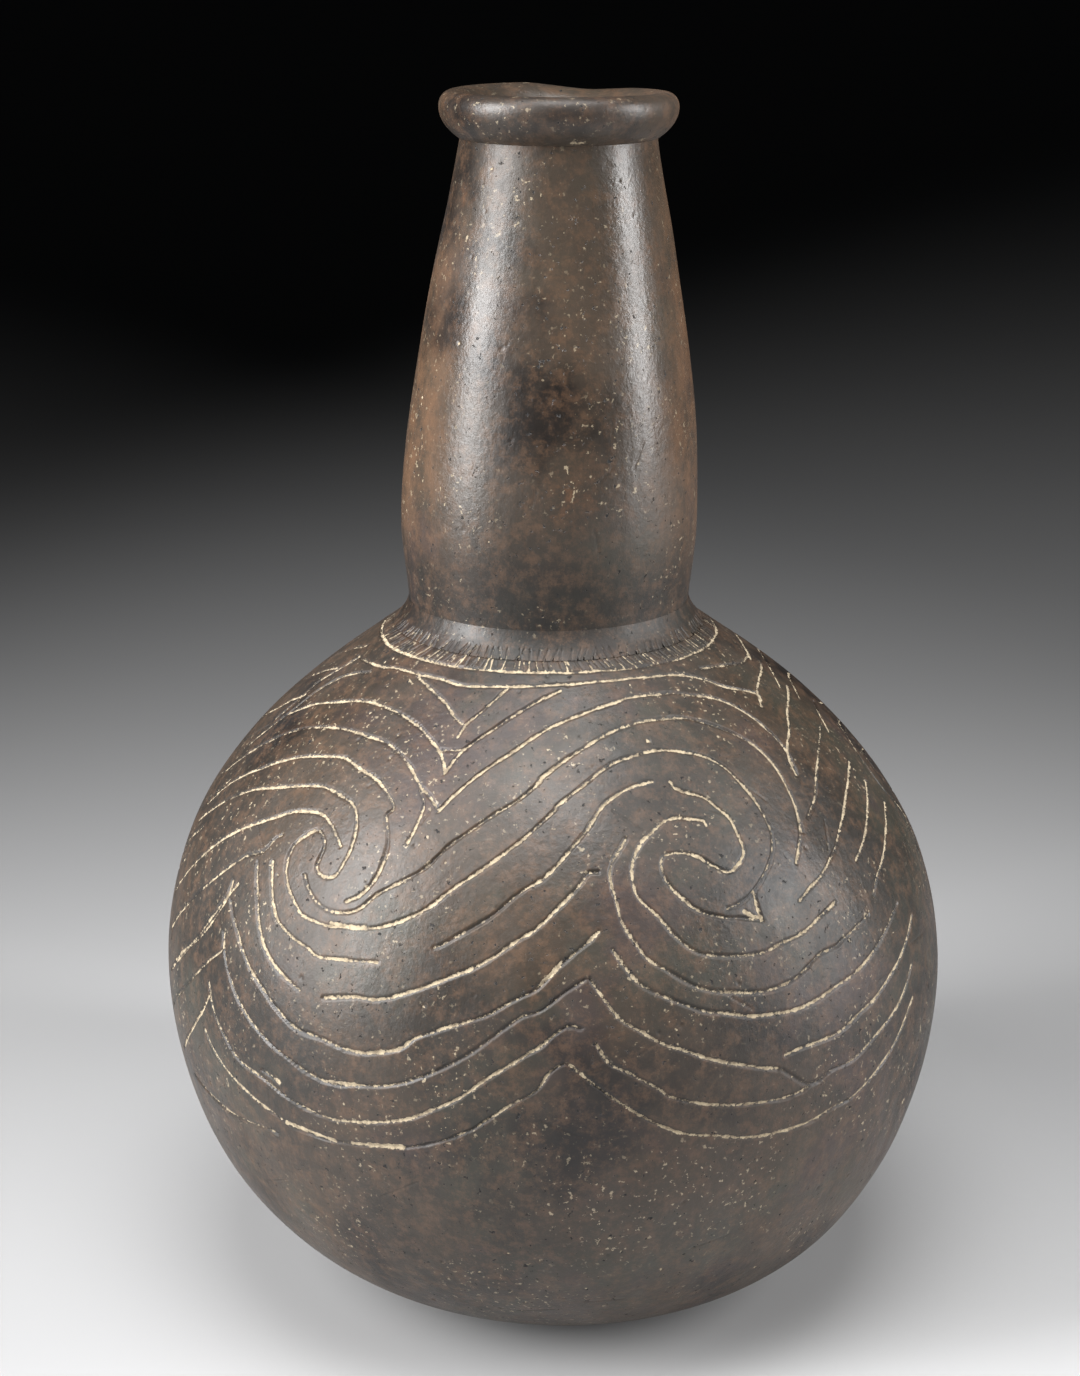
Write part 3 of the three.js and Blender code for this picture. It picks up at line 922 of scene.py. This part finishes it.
def make_joint_coil():
    """Thin coil smoothed into the corner between shoulder and neck."""
    low = body_length - FILLET_ON_SHOULDER
    start = np.array([np.interp(low, lengths(body), body[:, k]) for k in (0, 1)])
    end = np.array([np.interp(FILLET_ON_NECK, lengths(neck), neck[:, k]) for k in (0, 1)])
    corner = body[-1]
    t = np.linspace(0, 1, JOINT_ROWS)[:, None]
    pull = 0.55 * corner + 0.225 * (start + end)
    outer = (1 - t) ** 2 * start + 2 * (1 - t) * t * pull + t * t * end
    grid = np.vstack([spin_rows(outer, BODY_COLUMNS), spin_rows(corner[None], BODY_COLUMNS)])
    layers = empty_layers(len(outer), BODY_COLUMNS)
    step = lengths(outer)[-1] / (len(outer) - 1)
    for k in range(JOINT_STROKES):
        a = stroke_angle(k, JOINT_STROKES)
        tip = (a + rng.uniform(*JOINT_STROKE_LEAN_RANGE), JOINT_STROKE_LENGTH)
        line = np.linspace((a, 0), tip, JOINT_STROKE_POINTS)
        stamp(layers, line, JOINT_STROKE_HALF, JOINT_STROKE_DEPTH,
              rng.uniform(*JOINT_STROKE_PIGMENT_RANGE), BODY_COLUMNS, step, outer[:, 0])
    height = settle(layers)
    facing = outward(outer)
    grid[:len(outer)] = spin(outer, facing, BODY_COLUMNS, height)
    facing_out = grid_normals(grid[:-1])
    piece = closed_ring("clay_neck_joint_coil", grid, len(outer), facing_out, layers, finish_clay)
    stand_for(piece, "neck_joint_coil")


make_body()
make_neck()
make_rim()
make_joint_coil()

# The base disc keeps its solid and takes the same clay
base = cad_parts["base_disc"]
base.data.materials.clear()
base.data.materials.append(finish_clay)

# Floor, soft lights and faint light all round. Each light has its place, the point that it faces,
# its width and height, its watts and its spread in degrees.
FLOOR_HALF = 12.0
FLOOR_TINTS = ((0.44, 0.44, 0.45), (0.48, 0.48, 0.48))
LIGHTS = {
    "left_soft_light": ((-0.62, -0.26, 0.44), (0, 0, 0.15), 0.26, 0.80, 4.0, 90),
    "right_soft_light": ((0.62, -0.14, 0.34), (0, 0, 0.14), 0.11, 0.60, 1.5, 90),
    "top_soft_light": ((0.02, -0.24, 0.80), (0.02, -0.30, 0), 0.50, 0.40, 1.9, 75),
}
WORLD_COLOUR = (0.9, 0.95, 1, 1)
WORLD_STRENGTH = 0.003


def make_floor():
    """Plain pale floor, large enough to fill the picture up to its dark far end."""
    mesh = bpy.data.meshes.new("floor")
    corners = [(x * FLOOR_HALF, y * FLOOR_HALF, 0) for x, y in ((-1, -1), (1, -1), (1, 1), (-1, 1))]
    mesh.from_pydata(corners, [], [(0, 1, 2, 3)])
    floor = bpy.data.objects.new("floor", mesh)
    bpy.context.scene.collection.objects.link(floor)
    m, tree, shader = material("pale_floor")
    tint = blend_colour(tree, noise(tree, 3, 3), *FLOOR_TINTS)
    tree.links.new(tint, shader.inputs["Base Color"])
    shader.inputs["Roughness"].default_value = 0.85
    mesh.materials.append(m)


def soft_light(name, place, aim, wide, tall, watts, spread):
    """Rectangular soft light that faces a point."""
    data = bpy.data.lights.new(name, "AREA")
    data.shape = "RECTANGLE"
    data.size = wide
    data.size_y = tall
    data.energy = watts
    data.spread = math.radians(spread)
    light = bpy.data.objects.new(name, data)
    bpy.context.scene.collection.objects.link(light)
    light.location = place
    away = light.location.copy()
    away.x -= aim[0]
    away.y -= aim[1]
    away.z -= aim[2]
    light.rotation_euler = away.to_track_quat("Z", "Y").to_euler()


def make_camera():
    data = bpy.data.cameras.new("camera")
    data.sensor_width = SENSOR_MM
    data.lens = FOCAL_PX * SENSOR_MM / IMAGE_HEIGHT
    data.clip_start = CLIP_START
    data.clip_end = CLIP_END
    camera = bpy.data.objects.new("camera", data)
    bpy.context.scene.collection.objects.link(camera)
    camera.location = (CAMERA_X, -CAMERA_BACK, CAMERA_HEIGHT)
    camera.rotation_euler = (math.pi / 2 - CAMERA_TILT, 0, 0)
    bpy.context.scene.camera = camera


make_floor()
for name, values in LIGHTS.items():
    soft_light(name, *values)
bpy.context.scene.view_settings.view_transform = "Standard"
world = bpy.data.worlds.new("world")
bpy.context.scene.world = world
world.use_nodes = True
world.node_tree.nodes["Background"].inputs["Color"].default_value = WORLD_COLOUR
world.node_tree.nodes["Background"].inputs["Strength"].default_value = WORLD_STRENGTH
make_camera()
